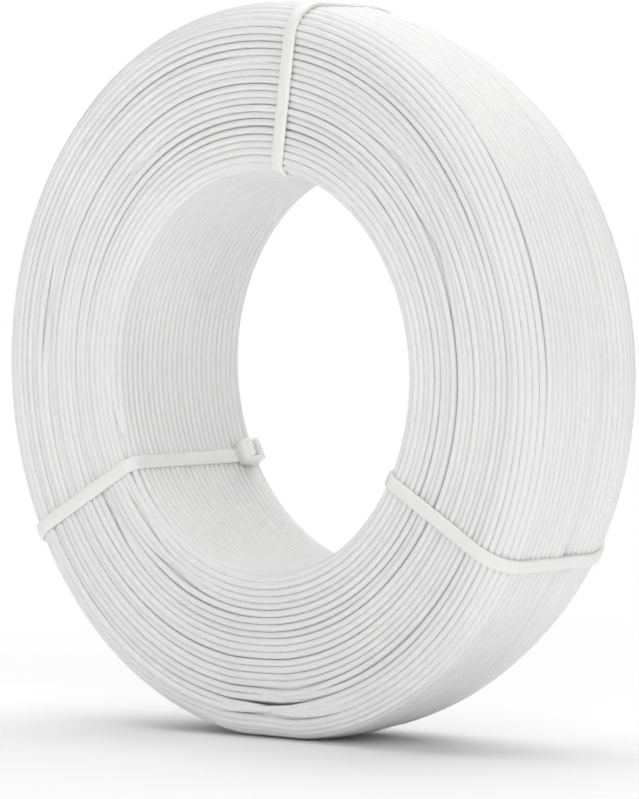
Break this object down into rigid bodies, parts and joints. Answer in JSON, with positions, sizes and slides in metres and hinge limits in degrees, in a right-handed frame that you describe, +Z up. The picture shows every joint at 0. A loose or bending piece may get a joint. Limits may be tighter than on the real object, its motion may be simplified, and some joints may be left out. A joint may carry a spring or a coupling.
{
  "type": "3d printer filament coil",
  "caption": "Spool-less coil of round plastic filament with a plain open bore and a round-shouldered rim, bound across its section by slim ratchet cable ties.",
  "frame": {"origin": "the surface that the coil stands on, straight below the middle of the coil", "axes": "+Z up, Y along the coil's axis with the front face towards -Y, +X to the right seen from the front"},
  "size_m": [0.186, 0.0498, 0.1858],
  "materials": {
    "filament": "smooth extruded white plastic strand with a soft gloss",
    "tie_nylon": "natural nylon, milky and slightly translucent, satin"
  },
  "bodies": {
    "coil": {"filament_winding": "filament", "tie_top": "tie_nylon", "tie_left": "tie_nylon", "tie_right": "tie_nylon"},
    "top_pawl": {"tie_top_pawl": "tie_nylon"},
    "left_pawl": {"tie_left_pawl": "tie_nylon"},
    "right_pawl": {"tie_right_pawl": "tie_nylon"}
  },
  "joints": [
    {"name": "top_pawl_hinge", "type": "hinge", "parent": "coil", "child": "top_pawl", "pos_m": [0.0069, 0.0187, 0.14142], "axis": [0.9903, 0, -0.1392], "range_deg": [0, 12]},
    {"name": "left_pawl_hinge", "type": "hinge", "parent": "coil", "child": "left_pawl", "pos_m": [-0.04334, 0.0187, 0.06832], "axis": [-0.4848, 0, 0.8746], "range_deg": [0, 12]},
    {"name": "right_pawl_hinge", "type": "hinge", "parent": "coil", "child": "right_pawl", "pos_m": [0.04334, 0.0187, 0.06832], "axis": [-0.4848, 0, -0.8746], "range_deg": [0, 12]}
  ]
}
